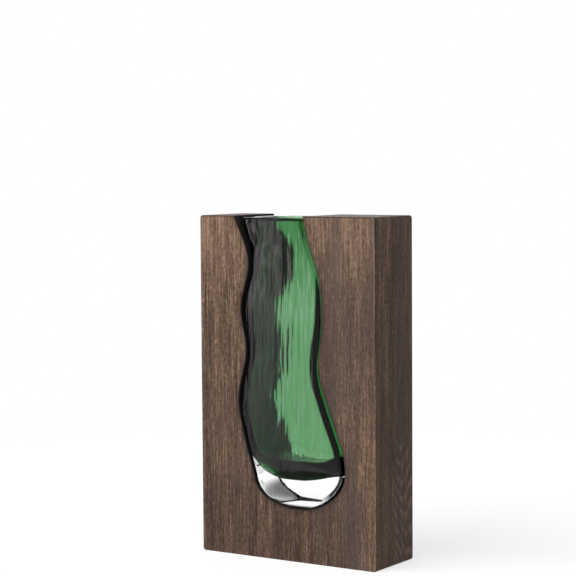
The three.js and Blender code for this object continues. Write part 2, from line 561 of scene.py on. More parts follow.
def side_figure(wood):
    """Shift of tone on the flat-sawn sides: their heart, and low down arches that point to the floor."""
    band = wood.grain["band"]
    thread = wood.grain["thread"]
    from_crown = wood.y + wood.z * CROWN_LEAN - CROWN_PLACE
    arch = wood.z / ARCH_HEIGHT - from_crown ** 2 * ARCH_BEND
    arch = arch + wood.grain["wander"] * 5 + band * 1.2 + thread * 0.3
    phase = arch.maths("FRACT", arch)
    line = phase.over(0.35, 0.8) * (1 - phase.over(0.85, 1)) * thread.over(0.3, 0.6)
    arches = (1 - wood.z.over(*ARCH_END)) * (line * 0.55 - 0.1)
    heart = wood.heart * (arches + wood.y.over(*HEART_BACK) * 0.12 - 0.05)
    return heart + wood.side * (wood.low * 0.18 - wood.high * 0.1 - 0.05)


def corner_wear_and_light(wood):
    """Shift of tone at the block's upright corners: paler in front, partly wear and partly a painted
    highlight where the rounded edge faces the light, and a painted shade at the side.
    """
    near_side = abs(wood.x).over(BLOCK_HIGH.x - wood.edge * 2.6, BLOCK_HIGH.x - wood.edge * 1.2)
    near_face = abs(wood.y).over(BLOCK_HIGH.y - wood.edge * 2.6, BLOCK_HIGH.y - wood.edge * 1.2)
    on_face = abs(wood.y).over(BLOCK_HIGH.y - wood.edge * 0.5, BLOCK_HIGH.y - wood.edge * 0.1)
    # Wear and painted highlight on the front of each corner, painted shade at its side
    return near_side * near_face * (on_face * 0.22 - 0.1)


def long_grain(paint, wood, block):
    """Colour of the faces and the sides, with grey weathered streaks."""
    tone = face_tone(wood) + side_figure(wood) + corner_wear_and_light(wood)
    stops = [(0.08, block.darkest), (0.32, block.dark), (0.52, block.brown), (0.95, block.pale)]
    finish = paint.node("ShaderNodeValToRGB", {"stops": stops}, {"Fac": tone})
    weathered = wood.grain["broad"].over(0.4, 0.68) * (0.12 + wood.right * 0.3)
    weathered = weathered + wood.right * (0.15 + wood.middle * 0.15) + wood.heart * 0.35
    return paint.blend(weathered, finish, block.grey)


def lighter(shade, times):
    """A colour that many times as bright."""
    return [times * part for part in shade]


def lay_end_grain(paint, wood, block, finish):
    """Greyer end grain on the top and the underside, with year rings and pores, and a dark brim; its
    brightness is partly a painted light from above.
    """
    top = wood.z.over(BLOCK_HIGH.z - wood.edge * 0.3, BLOCK_HIGH.z - wood.edge * 0.1)
    underside = 1 - wood.z.over(BLOCK_LOW.z + wood.edge * 0.1, BLOCK_LOW.z + wood.edge * 0.3)
    rings = wood.early * 0.45 + wood.grain["speckle"].over(0.5, 0.7) * 0.35
    # Partly painted light: the end grain is painted brighter, standing in for light from above on the top
    end_grain = paint.blend(rings, lighter(block.grey, END_GRAIN_TONE_AND_PAINTED_LIGHT), block.dark)
    brim = wood.z.over(BLOCK_HIGH.z - wood.edge * 1.4, BLOCK_HIGH.z - wood.edge * 0.7)
    finish = paint.blend(brim * BRIM_COVER, finish, block.darkest)
    return paint.blend((top + underside) * END_GRAIN_COVER, finish, end_grain)


def lay_char(paint, wood, block, finish):
    """Char in the slot, with a painted light on it near the faces, and singed wood beside it."""
    singed = 1 - wood.reach.over(wood.char_end, wood.char_end + block.singe_spread)
    finish = paint.blend(singed * SINGE_COVER, finish, block.char)
    sooty = wood.grain["soot"].over(0.4, 0.75)
    soot = paint.blend(sooty, block.char, lighter(block.char, SOOT_LIGHT))
    # Painted light: the char near the faces is painted lighter, standing in for light that reaches into the
    # slot there
    painted_light_at_face = abs(wood.y).over(*(BLOCK_HIGH.y - depth for depth in PAINTED_CHAR_LIGHT_DEPTH))
    soot = paint.blend(painted_light_at_face, soot, lighter(block.char, PAINTED_LIGHT_ON_CHAR))
    return paint.blend(wood.charred, finish, soot)


def smoked_wood(block):
    """Smoked ring-porous wood with upright grain, and a charred slot."""
    material, paint = new_paint("smoked_wood")
    wood = WoodMap(paint, block)
    finish = long_grain(paint, wood, block)
    finish = lay_end_grain(paint, wood, block, finish)
    finish = lay_char(paint, wood, block, finish)
    height = wood.grain["fleck"] * 0.5 - wood.pores * 0.6 - wood.early * 0.2
    height = height + wood.grain["soot"] * wood.charred
    relief = {"Strength": 0.5, "Distance": WOOD_RELIEF, "Height": height}
    shader = paint.node(
        "ShaderNodeBsdfPrincipled",
        None,
        {
            "Base Color": finish,
            "Roughness": WOOD_ROUGHNESS + wood.pores * 0.2 + wood.charred * 0.2,
            "Specular IOR Level": WOOD_GLOSS,
            "Normal": paint.node("ShaderNodeBump", None, relief),
        },
    )
    paint.node("ShaderNodeOutputMaterial", None, {"Surface": shader})
    return material


# Glass finishes


class Glass(NamedTuple):
    """A glass: how much it bends light, the colour of its gloss, its wave height and its threads."""

    bend: float
    gloss: tuple
    wave_height: float
    threads: float


class Swell(NamedTuple):
    """A swell inside the front wall of the green glass: the place of its right flank, its rise,
    and the heights where it starts, is full, fades and ends."""

    place: float
    rise: float
    start: float
    full: float
    fade: float
    end: float


GREEN_GLASS = Glass(1.4, (0.74, 0.63, 0.7), 0.65 * MM, 0.25)
CLEAR_GLASS = Glass(1.5, (0.2, 0.2, 0.2), 0.1 * MM, 0.05)
GLASS_GRAIN = {
    "waves": Grain(6 * MM, 40 * MM, 1),
    "ripples": Grain(2.4 * MM, 22 * MM, 1, (4, 4, 4)),
    "threads": Grain(1.4 * MM, 30 * MM, 2, (7, 2, 5)),
}
RIPPLE_SHARE = 0.5

# Colours laid on the glass, which lets through about their square root: the threads' own colour, and
# painted shade at the rim, the lower end and the foot's right end
BARE_GLASS = (1, 1, 1)
THREAD_SHADE = (0.55, 0.62, 0.57)
RIM_PAINTED_SHADE = (0.02, 0.04, 0.025)
LOWER_END_PAINTED_SHADE = (0.08, 0.1, 0.09)
FOOT_LINE_PAINTED_SHADE = (0.0006, 0.0009, 0.0007)

# Where they lie: the rim's line by its drop under the rim, the foot's line by its reach from the slot
RIM_LINE_START = (2.2 * MM, 1.8 * MM)
RIM_LINE_END = (0.9 * MM, 0.6 * MM)
RIM_LINE_BACK = (-15 * MM, -10 * MM)
LOWER_END_LEFT = (-22 * MM, -8 * MM)
LOWER_END_COVER = 0.85
FOOT_LINE_LEFT = (20 * MM, 30 * MM)
FOOT_LINE_REACH = (3.3 * MM, 4 * MM)

# How far a face points to the front, the back or the floor where waves and shades set in
WAVES_FACING = (0.75, 0.97)
FOOT_LINE_FACING = (0.3, 0.6)
LOWER_END_FACING = (0.05, 0.4)

# Swells, their left and right flank, and how far behind the front the wall's inner face lies
SWELLS = [
    Swell(0.5 * MM, -3.2 * MM, 154 * MM, 174 * MM, 180 * MM, 192 * MM),
    Swell(-6.5 * MM, 1.6 * MM, 112 * MM, 132 * MM, 148 * MM, 160 * MM),
    Swell(-9 * MM, 1.6 * MM, 78 * MM, 90 * MM, 96 * MM, 108 * MM),
]
SWELL_LEFT = (-28 * MM, -9 * MM)
SWELL_RIGHT = (-7.5 * MM, 7.5 * MM)
INNER_FACE_START = 1.9 * MM
INNER_FACE_FULL = 2.5 * MM


class BlownGlass:
    """A glass finish with upright waves and threads drawn in the blowing."""

    def __init__(self, name, glass):
        self.glass = glass
        self.material, self.paint = new_paint(name)
        self.point = self.paint.place()
        self.normal = self.paint.node("ShaderNodeTexCoord", output="Normal")
        self.facing = abs(self.paint.part(self.normal, "Y"))
        grain = {kind: self.paint.noise(self.point, size) for kind, size in GLASS_GRAIN.items()}
        self.waves = grain["waves"] + grain["ripples"] * RIPPLE_SHARE
        threads = grain["threads"].over(0.35, 0.7) * glass.threads
        self.shade = self.paint.blend(threads, BARE_GLASS, THREAD_SHADE)

    def lay(self, amount, shade):
        """Lays a painted shade over the glass."""
        self.shade = self.paint.blend(amount, self.shade, shade)

    def finish(self, tint=None, density=0):
        """The material, with a tint that deepens through the glass and waves on its front and back."""
        relief = {
            "Strength": self.facing.over(*WAVES_FACING),
            "Distance": self.glass.wave_height,
            "Height": self.waves,
        }
        shader = self.paint.node(
            "ShaderNodeBsdfPrincipled",
            None,
            {
                "Base Color": self.shade,
                "Roughness": 0,
                "IOR": self.glass.bend,
                "Specular Tint": self.glass.gloss,
                "Transmission Weight": 1,
                "Normal": self.paint.node("ShaderNodeBump", None, relief),
            },
        )
        sockets = {"Surface": shader}
        if density:
            volume = {"Color": tint, "Density": density}
            sockets["Volume"] = self.paint.node("ShaderNodeVolumeAbsorption", None, volume)
        self.paint.node("ShaderNodeOutputMaterial", None, sockets)
        return self.material


def green_glass(green):
    """Green glass with a painted shade line under its rim, swells in its front wall and a painted shade on
    its lower end.
    """
    glass = BlownGlass("green_glass", GREEN_GLASS)
    x, y, z = (glass.paint.part(glass.point, axis) for axis in "XYZ")
    # Painted shade: a dark line under the rim, standing in for the dark line that the rounded rim bends
    # into view
    line_start = z.over(*(GREEN_HIGH.z - drop for drop in RIM_LINE_START))
    line_end = z.over(*(GREEN_HIGH.z - drop for drop in RIM_LINE_END))
    glass.lay(line_start * (1 - line_end) * (1 - y.over(*RIM_LINE_BACK)), RIM_PAINTED_SHADE)

    front = -GREEN_HIGH.y
    inside = y.over(front + INNER_FACE_START, front + INNER_FACE_FULL) * (1 - y.over(0, 1 * MM))
    for swell in SWELLS:
        right = x - swell.place
        ridge = right.over(*SWELL_LEFT) * (1 - right.over(*SWELL_RIGHT))
        span = z.over(swell.start, swell.full) * (1 - z.over(swell.fade, swell.end))
        glass.waves = glass.waves + ridge * span * inside * (swell.rise / GREEN_GLASS.wave_height)

    # Painted shade on the down-facing faces of the lower end, which hides the green light bent through its
    # thin edge
    facing_down = (0 - glass.paint.part(glass.normal, "Z")).over(*LOWER_END_FACING)
    glass.lay(facing_down * x.over(*LOWER_END_LEFT) * LOWER_END_COVER, LOWER_END_PAINTED_SHADE)
    return glass.finish(green.tint, green.tint_density)


def clear_glass():
    """Clear glass with a painted shade line at the right end of the foot, standing in for the dark slot
    wall seen through it.
    """
    glass = BlownGlass("clear_glass", CLEAR_GLASS)
    right = glass.paint.part(glass.point, "X").over(*FOOT_LINE_LEFT)
    near_slot = 1 - glass.paint.reach().over(*FOOT_LINE_REACH)
    # Painted shade near the slot at the foot's right end, where the dark wall and gap show through the
    # glass
    glass.lay(near_slot * right * glass.facing.over(*FOOT_LINE_FACING), FOOT_LINE_PAINTED_SHADE)
    return glass.finish()


# Modelling steps


def fresh_start():
    """Leaves edit mode and deselects everything."""
    if bpy.context.mode != "OBJECT":
        bpy.ops.object.mode_set(mode="OBJECT")
    bpy.ops.object.select_all(action="DESELECT")


def select_only(*pieces):
    """Selects these pieces, the first of them active."""
    fresh_start()
    for piece in pieces:
        piece.select_set(True)
    bpy.context.view_layer.objects.active = pieces[0]


def selected_box():
    """Lowest and highest corner of the corners selected in edit mode."""
    mesh = bmesh.from_edit_mesh(bpy.context.object.data)
    places = np.array([v.co for v in mesh.verts if v.select])
    return places.min(0), places.max(0)


def pick_corners():
    """Selects all corners in edit mode."""
    bpy.ops.mesh.select_mode(type="VERT")
    bpy.ops.mesh.select_all(action="SELECT")


def pick_faces(piece, wanted):
    """Selects the faces of a piece in edit mode that pass a test."""
    bpy.ops.mesh.select_mode(type="FACE")
    bpy.ops.mesh.select_all(action="DESELECT")
    for face in bmesh.from_edit_mesh(piece.data).faces:
        face.select_set(bool(wanted(face)))
    bmesh.update_edit_mesh(piece.data)


def pick_edges(piece, wanted):
    """Selects the edges of a piece in edit mode that pass a test."""
    bpy.ops.mesh.select_mode(type="EDGE")
    bpy.ops.mesh.select_all(action="DESELECT")
    for edge in bmesh.from_edit_mesh(piece.data).edges:
        edge.select_set(bool(wanted(edge)))
    bmesh.update_edit_mesh(piece.data)


class Level(NamedTuple):
    """A ring of a stack: the height of its middle, how far it leans up and down from there,
    its left and right end, its half depth, and how much rounder it is than the ring below."""

    height: float
    lean: float
    left: float
    right: float
    half_depth: float
    rounder: float = 0


def fit_cap(level, axis):
    """Stretches the selected ring to its level and moves it there, leaning round an axis."""
    low, high = selected_box()
    centre = (low + high) / 2
    if level.lean and high[2] - low[2] < HAIR:
        bpy.ops.transform.rotate(value=FIRST_LEAN[axis], orient_axis=axis, center_override=tuple(centre))
        low, high = selected_box()
    size = [
        (level.right - level.left) / (high[0] - low[0]),
        2 * level.half_depth / (high[1] - low[1]),
        2 * level.lean / (high[2] - low[2]) if high[2] - low[2] > HAIR else 1,
    ]
    bpy.ops.transform.resize(value=size, center_override=tuple(centre))
    place = np.array([(level.left + level.right) / 2, 0, level.height])
    bpy.ops.transform.translate(value=tuple(place - centre))


def raise_stack(name, levels, corner=0.0, belly=0.0, axis="Y"):
    """A skin over rings with rounded corners and bellied sides, each extruded from the one before it."""
    fresh_start()
    bpy.ops.mesh.primitive_plane_add(size=1, location=(0, 0, 0))
    stack = bpy.context.object
    stack.name = name
    bpy.ops.object.mode_set(mode="EDIT")
    pick_corners()
    if corner:
        bpy.ops.mesh.bevel(affect="VERTICES", offset=corner, segments=CORNER_STEPS, profile=0.5)
        pick_edges(stack, lambda edge: edge.calc_length() > corner)
        bpy.ops.mesh.subdivide(number_cuts=SIDE_CUTS)
        pick_corners()
        bpy.ops.transform.tosphere(value=belly, center_override=(0, 0, 0))
    fit_cap(levels[0], axis)
    for before, level in zip(levels, levels[1:]):
        climb = (0, 0, level.height - before.height)
        bpy.ops.mesh.extrude_region_move(TRANSFORM_OT_translate={"value": climb})
        if level.rounder:
            low, high = selected_box()
            bpy.ops.transform.tosphere(value=level.rounder, center_override=tuple((low + high) / 2))
        fit_cap(level, axis)
    return stack


def add_modifier(piece, kind, **settings):
    """Adds a modifier to a piece and applies it."""
    select_only(piece)
    modifier = piece.modifiers.new(kind.title(), kind)
    for name, value in settings.items():
        setattr(modifier, name, value)
    bpy.ops.object.modifier_apply(modifier=modifier.name)


def mark_reach(piece):
    """Keeps at each corner of a piece how far it lies from the slot's outline."""
    heights = SLOT_FLOOR + np.linspace(0, SLOT_RISES[-1], WALL_POINTS) ** 2
    spans = np.array([slot_span(height) for height in heights])
    walls = [(place, height) for span, height in zip(spans, heights) for place in span]
    floor = [(place, SLOT_FLOOR) for place in np.linspace(*spans[0], FLOOR_POINTS)]
    outline = np.array(walls + floor)
    places = np.array([(vert.co.x, vert.co.z) for vert in piece.data.vertices])
    reach = piece.data.attributes.new(SLOT_REACH, "FLOAT", "POINT")
    reach.data.foreach_set("value", [np.hypot(*(outline - place).T).min() for place in places])


def stop_if_open(piece):
    """Raises an error if a piece isn't closed."""
    mesh = bmesh.new()
    mesh.from_mesh(piece.data)
    closed = all(edge.is_manifold for edge in mesh.edges)
    mesh.free()
    if not closed:
        raise RuntimeError(f"{piece.name} is not a closed piece")


def finish_piece(piece, body, node, material):
    """Gives a closed piece its material and ties it to the CAD frame."""
    stop_if_open(piece)
    piece.data.materials.clear()
    piece.data.materials.append(material)
    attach(piece, body)
    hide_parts(node)
    fresh_start()


# Wood edges


def sharp(edge):
    """True for an edge between two faces that meet at an angle."""
    return len(edge.link_faces) == 2 and edge.calc_face_angle() > SHARP_ANGLE


def outer_edge(edge):
    """True for an edge on the outline of the block."""
    ends = [vert.co for vert in edge.verts]
    at_side = all(BLOCK_HIGH.x - abs(end.x) < OUTLINE_REACH for end in ends)
    at_foot = all(end.z - BLOCK_LOW.z < OUTLINE_REACH for end in ends)
    on_top = all(BLOCK_HIGH.z - end.z < HAIR for end in ends)
    along = abs(ends[0].x - ends[1].x) > abs(ends[0].y - ends[1].y)
    return at_side or at_foot or (on_top and along)


# Glass levels


def bowl_share(rise, round_height):
    """0 on the floor of a rounded end, 1 from its full height up."""
    fall = min(max(1 - rise / round_height, 0), 1)
    return math.sqrt(1 - fall * fall)


def soft_step(value, low, high):
    """0 below low, 1 above high, smooth between."""
    t = min(max((value - low) / (high - low), 0), 1)
    return t * t * (3 - 2 * t)


def even_steps(low, high, step):
    """Places from low to high, about a step apart, without the first."""
    count = max(1, round((high - low) / step))
    return [low + (high - low) * (i + 1) / count for i in range(count)]


def bowl_heights(floor, round_height, count):
    """Heights over a rounded end, closest together on its floor."""
    turns = [END_START + (math.pi / 2 - END_START) * i / count for i in range(count + 1)]
    return [floor + round_height * (1 - math.cos(turn)) for turn in turns]


def rim_rings(rim, round_size):
    """Heights over the rounded edge of a rim, each with how far the edge has turned in."""
    return [
        (rim - round_size * (1 - math.sin(turn)), round_size * (1 - math.cos(turn))) for turn in RIM_TURNS
    ]


class Bowl(NamedTuple):
    """A rounded lower end: its floor, where its lowest point lies, and its three rounding heights."""

    floor: float
    middle: float
    left: float
    right: float
    deep: float


class Insets(NamedTuple):
    """How far a ring is drawn in from the slot and from the vessel's faces."""

    left: float
    right: float
    deep: float

    def plus(self, other):
        """These insets and others added up."""
        return Insets(*(a + b for a, b in zip(self, other)))


def all_round(inset):
    """The same inset on all sides."""
    return Insets(inset, inset, inset)


def neck_height(green):
    """Height where the neck begins."""
    return SLOT_FLOOR + green.neck_start * (BLOCK_HIGH.z - SLOT_FLOOR)


def neck_share(green, height):
    """How far the neck has set in at a height: 0 in the body, 1 at the block's top."""
    start = neck_height(green)
    return max(0, (height - start) / (BLOCK_HIGH.z - start)) ** 2


def glass_level(green, height, lean, insets, bowl=None):
    """One ring of glass in the slot, drawn in by insets and closed by a bowl."""
    left = slot_span(height + lean)[0] + green.slot_fit + insets.left
    room_fade = 1 - soft_step(height - lean, FOOT_HIGH.z + ROOM_START, FOOT_HIGH.z + ROOM_END)
    right = slot_span(height - lean)[1] - green.slot_fit - green.foot_room * room_fade - insets.right
    half_depth = GREEN_HIGH.y - green.mouth_setback * neck_share(green, height) - insets.deep
    if bowl:
        rise = height - bowl.floor
        left = bowl.middle + (left - bowl.middle) * bowl_share(rise, bowl.left)
        right = bowl.middle + (right - bowl.middle) * bowl_share(rise, bowl.right)
        half_depth -= bowl.deep * (1 - bowl_share(rise, bowl.deep))
    return Level(height, lean, left, right, half_depth)


def round_mouth(green, levels, amount):
    """The same levels, rounder step by step towards the mouth."""
    square = [1 - amount * neck_share(green, level.height) for level in levels]
    steps = [0] + [1 - b / a for a, b in zip(square, square[1:])]
    return [level._replace(rounder=step) for level, step in zip(levels, steps)]


def green_bowl(green, foot, deeper=0.0):
    """The lower end of the green vessel, or of its cavity, which lies that much deeper in the glass."""
    floor = FOOT_LOW.z + foot.thick + deeper
    return Bowl(floor, SLOT_MIDDLE + BOWL_SHIFT, green.left_round, green.right_round, green.deep_round)


def lip_height(foot):
    """Height of the middle of the clear foot's lip."""
    return FOOT_HIGH.z - foot.lip_drop


def lean_at(foot, height):
    """How far the glass leans towards the foot's lip: nothing low down and high up, most at the lip."""
    lip = lip_height(foot)
    rising = soft_step(height, FOOT_LOW.z + foot.thick + LEAN_START, lip)
    falling = 1 - soft_step(height, lip, lip + LEAN_FADE)
    return foot.lip_lean * min(rising, falling)


def clear_cover(foot, height):
    """Thickness of the clear glass round the green vessel: full at its lower end, feathered at the lip."""
    floor = FOOT_LOW.z + foot.thick
    rise = min(max((height - floor) / (lip_height(foot) - floor), 0), 1)
    fade = (1 - rise) ** COVER_POWER
    sides = (foot.left_side, foot.right_side, foot.face_side)
    return Insets(*(foot.lip + (side - foot.lip) * fade for side in sides))


def cover_heights(foot, bowl):
    """Heights over the part of the green vessel that the clear glass covers, up to the lip."""
    heights = bowl_heights(bowl.floor, bowl.right, VESSEL_END_STEPS)
    return heights + even_steps(heights[-1], lip_height(foot), COVER_STEP)


# Glass skins


def open_top(stack):
    """Takes away the face that closes a stack at the top."""
    caps = [face for face in bmesh.from_edit_mesh(stack.data).faces if len(face.verts) > 4]
    top = max(cap.calc_center_median().z for cap in caps)
    pick_faces(stack, lambda face: len(face.verts) > 4 and face.calc_center_median().z > top - HAIR)
    bpy.ops.mesh.delete(type="ONLY_FACE")
    bpy.ops.object.mode_set(mode="OBJECT")


def join_walls(outer, inner):
    """Joins an outer and an inner skin and closes the gap between their open tops."""
    select_only(outer, inner)
    bpy.ops.object.join()
    bpy.ops.object.mode_set(mode="EDIT")
    pick_edges(outer, lambda edge: edge.is_boundary)
    bpy.ops.mesh.bridge_edge_loops()


def smooth_glass(glass):
    """Turns the faces outwards and smooths the glass."""
    bpy.ops.mesh.select_all(action="SELECT")
    bpy.ops.mesh.remove_doubles(threshold=HAIR / 4)
    bpy.ops.mesh.normals_make_consistent(inside=False)
    bpy.ops.object.mode_set(mode="OBJECT")
    add_modifier(glass, "SUBSURF", levels=SMOOTH_LEVELS, render_levels=SMOOTH_LEVELS)
    bpy.ops.object.shade_smooth_by_angle(angle=GLASS_CREASE)


# Operators


class VASE_OT_wood_block(bpy.types.Operator):
    """Models the wood block: a cube with rounded corners and the slot sawn through it"""

    bl_idname = "vase.wood_block"
    bl_label = "Wood block"

    def execute(self, context):
        settings = context.scene.vase_block
        block = self.plank(settings)
        saw = self.saw_cut()
        add_modifier(block, "BOOLEAN", operation="DIFFERENCE", object=saw, solver="EXACT")
        bpy.data.objects.remove(saw)
        self.round_edges(block, settings)
        self.score_faces(block)
        mark_reach(block)
        bpy.ops.object.shade_smooth_by_angle(angle=WOOD_CREASE)
        add_modifier(block, "WEIGHTED_NORMAL", keep_sharp=True)
        finish_piece(block, "block", "wood_block", smoked_wood(settings))
        return {"FINISHED"}

    def plank(self, settings):
        """The block before it is sawn, with the four corners rounded that are seen from the front."""
        fresh_start()
        bpy.ops.mesh.primitive_cube_add(size=1, location=(0, 0, 0))
        block = bpy.context.object
        block.name = "wood_block_dressed"
        bpy.ops.object.mode_set(mode="EDIT")
        bpy.ops.mesh.select_all(action="SELECT")
        bpy.ops.transform.resize(value=tuple(BLOCK_HIGH - BLOCK_LOW), center_override=(0, 0, 0))
        bpy.ops.transform.translate(value=tuple((BLOCK_HIGH + BLOCK_LOW) / 2))
        pick_edges(block, lambda edge: abs(edge.verts[0].co.y - edge.verts[1].co.y) > HAIR)
        bpy.ops.mesh.bevel(
            affect="EDGES", offset=settings.corner_round, segments=EDGE_STEPS, profile=0.5
        )
        bpy.ops.object.mode_set(mode="OBJECT")
        return block

    def saw_cut(self):
        """The space that the saw takes out, past the front, the back and the top."""
        half_depth = BLOCK_HIGH.y + SAW_PAST
        rises = np.linspace(SLOT_RISES[0], SLOT_RISES[-1], SAW_STEPS)[1:]
        heights = [SLOT_FLOOR + HAIR] + [SLOT_FLOOR + rise * rise for rise in rises]
        levels = [Level(height, 0, *slot_span(height), half_depth) for height in heights]
        saw = raise_stack("saw_cut", levels + [levels[-1]._replace(height=BLOCK_HIGH.z + SAW_PAST)])
        bpy.ops.mesh.select_all(action="SELECT")
        bpy.ops.mesh.normals_make_consistent(inside=False)
        bpy.ops.object.mode_set(mode="OBJECT")
        return saw

    def round_edges(self, block, settings):
        """Rounds the slot's edges, and by a larger weight the block's outer edges."""
        select_only(block)
        bpy.ops.object.mode_set(mode="EDIT")
        pick_edges(block, lambda edge: sharp(edge) and not outer_edge(edge))
        bpy.ops.transform.edge_bevelweight(value=1)
        pick_edges(block, lambda edge: sharp(edge) and outer_edge(edge))
        bpy.ops.transform.edge_bevelweight(value=settings.eased_edge / settings.slot_edge)
        bpy.ops.object.mode_set(mode="OBJECT")
        add_modifier(
            block,
            "BEVEL",
            width=settings.slot_edge,
            segments=EDGE_STEPS,
            limit_method="WEIGHT",
            use_clamp_overlap=False,
        )

    def score_faces(self, block):
        """Cuts the front and the back into small fields, whose corners keep their reach from the slot."""
        select_only(block)
        bpy.ops.object.mode_set(mode="EDIT")
        upright = even_steps(-FIELD, FIELD, FIELD_STEP)
        level = even_steps(FIELD_FOOT, BLOCK_HIGH.z, FIELD_STEP)[:-1]
        cuts = [((place, 0, 0), (1, 0, 0)) for place in upright]
        cuts += [((0, 0, place), (0, 0, 1)) for place in level]
        for point, normal in cuts:
            pick_faces(block, lambda face: abs(face.normal.y) > FLAT_FACE)
            bpy.ops.mesh.bisect(plane_co=point, plane_no=normal, threshold=HAIR / 2)
        bpy.ops.object.mode_set(mode="OBJECT")


class VASE_OT_green_vessel(bpy.types.Operator):
    """Models the green glass vessel: an outer and an inner skin joined at a rounded rim"""

    bl_idname = "vase.green_vessel"
    bl_label = "Green glass vessel"

    def execute(self, context):
        settings = context.scene.vase_green
        foot = context.scene.vase_foot
        levels = round_mouth(settings, self.outside(settings, foot), settings.mouth_round)
        outer = raise_stack("green_vessel_dressed", levels, settings.corner, settings.belly)
        open_top(outer)
        levels = round_mouth(settings, self.inside(settings, foot), settings.inner_round)
        inner = raise_stack("green_inside", levels, settings.inner_corner, settings.belly, "X")
        open_top(inner)
        join_walls(outer, inner)
        smooth_glass(outer)
        finish_piece(outer, "liner", "green_glass_vessel", green_glass(settings))
        return {"FINISHED"}

    def outside(self, settings, foot):
        """Rings from the lower end, under the clear glass and bare above its lip, to the rounded rim."""
        rim = GREEN_HIGH.z
        lip = lip_height(foot)
        bowl = green_bowl(settings, foot)
        levels = [
            glass_level(settings, height, lean_at(foot, height), clear_cover(foot, height), bowl)
            for height in cover_heights(foot, bowl)[:-1]
        ]
        levels += [
            glass_level(settings, height, lean_at(foot, height), all_round(0), bowl)
            for height in [lip] + even_steps(lip, rim - settings.rim_round, VESSEL_STEP)
        ]
        levels += [
            glass_level(settings, height, 0, all_round(turned))
            for height, turned in rim_rings(rim, settings.rim_round)
        ]
        return levels

    def inside(self, settings, foot):
        """Rings of the cavity, from its leaning floor to the inner edge of the rim."""
        rim = GREEN_HIGH.z - RIM_SLOPE
        bowl = green_bowl(settings, foot, settings.floor_wall)
        bowl = bowl._replace(left=settings.inner_end_round, right=settings.inner_end_round)
        heights = bowl_heights(bowl.floor, bowl.right, VESSEL_END_STEPS)
        heights += even_steps(heights[-1], rim - settings.rim_round, VESSEL_STEP)
        levels = []
        for height in heights:
            level = glass_level(settings, height, 0, self.wall(settings, foot, height), bowl)
            lean_fade = 1 - soft_step(height, bowl.floor, bowl.floor + LEAN_FADE)
            levels.append(level._replace(lean=settings.floor_lean * lean_fade))
        for height, turned in rim_rings(rim, settings.rim_round):
            wall = self.wall(settings, foot, height).plus(all_round(-turned))
            levels.append(glass_level(settings, height, 0, wall))
        return levels

    def wall(self, settings, foot, height):
        """How far the cavity lies from the slot and the faces: the green wall and the clear glass on it."""
        lip = lip_height(foot)
        cover_fade = 1 - soft_step(height, lip - COVER_REACH, lip + COVER_REACH)
        in_neck = soft_step(height, neck_height(settings) - NECK_LEAD, BLOCK_HIGH.z - NECK_LEAD)
        at_rim = soft_step(height, GREEN_HIGH.z - RIM_REACH, GREEN_HIGH.z)
        right = settings.body_wall + (settings.neck_wall - settings.body_wall) * in_neck
        right += (settings.rim_wall - settings.neck_wall) * at_rim
        green = Insets(settings.left_wall, right, settings.face_wall)
        return green.plus(Insets(*(cover_fade * side for side in clear_cover(foot, height))))


class VASE_OT_clear_foot(bpy.types.Operator):
    """Models the clear glass foot: a thick cup that feathers out up the green vessel"""

    bl_idname = "vase.clear_foot"
    bl_label = "Clear glass foot"

    def execute(self, context):
        green = context.scene.vase_green
        settings = context.scene.vase_foot
        outer = raise_stack("clear_foot_dressed", self.outside(green, settings), green.corner, green.belly)
        open_top(outer)
        inner = raise_stack("foot_seat", self.seat(green, settings), green.corner, green.belly)
        open_top(inner)
        join_walls(outer, inner)
        smooth_glass(outer)
        mark_reach(outer)
        finish_piece(outer, "liner", "clear_glass_foot", clear_glass())
        return {"FINISHED"}

    def outside(self, green, settings):
        """Rings from the rounded lower edge to the leaning lip."""
        heights = bowl_heights(FOOT_LOW.z, settings.end_round, FOOT_END_STEPS)
        heights += even_steps(heights[-1], lip_height(settings), FOOT_STEP)
        levels = []
        for height in heights:
            level = glass_level(green, height, lean_at(settings, height), all_round(0))
            deep = settings.end_round * (1 - bowl_share(height - FOOT_LOW.z, settings.end_round))
            levels.append(level._replace(half_depth=level.half_depth - deep))
        return levels

    def seat(self, green, settings):
        """Rings of the hollow round the green vessel, a little inside it because the two are fused."""
        bowl = green_bowl(green, settings)
        levels = []
        for height in cover_heights(settings, bowl)[:-1]:
            cover = clear_cover(settings, height).plus(all_round(settings.overlap))
            level = glass_level(green, height, lean_at(settings, height), cover, bowl)
            levels.append(level._replace(height=height + settings.overlap))
        return levels


def seen_directly(paint):
    """1 where the camera, a gloss or glass looks at the stage, 0 where it lights something."""
    kinds = ("Is Camera Ray", "Is Glossy Ray", "Is Transmission Ray")
    camera, gloss, glass = (paint.node("ShaderNodeLightPath", output=kind) for kind in kinds)
    return camera.maths("MAXIMUM", camera.maths("MAXIMUM", camera, gloss), glass)


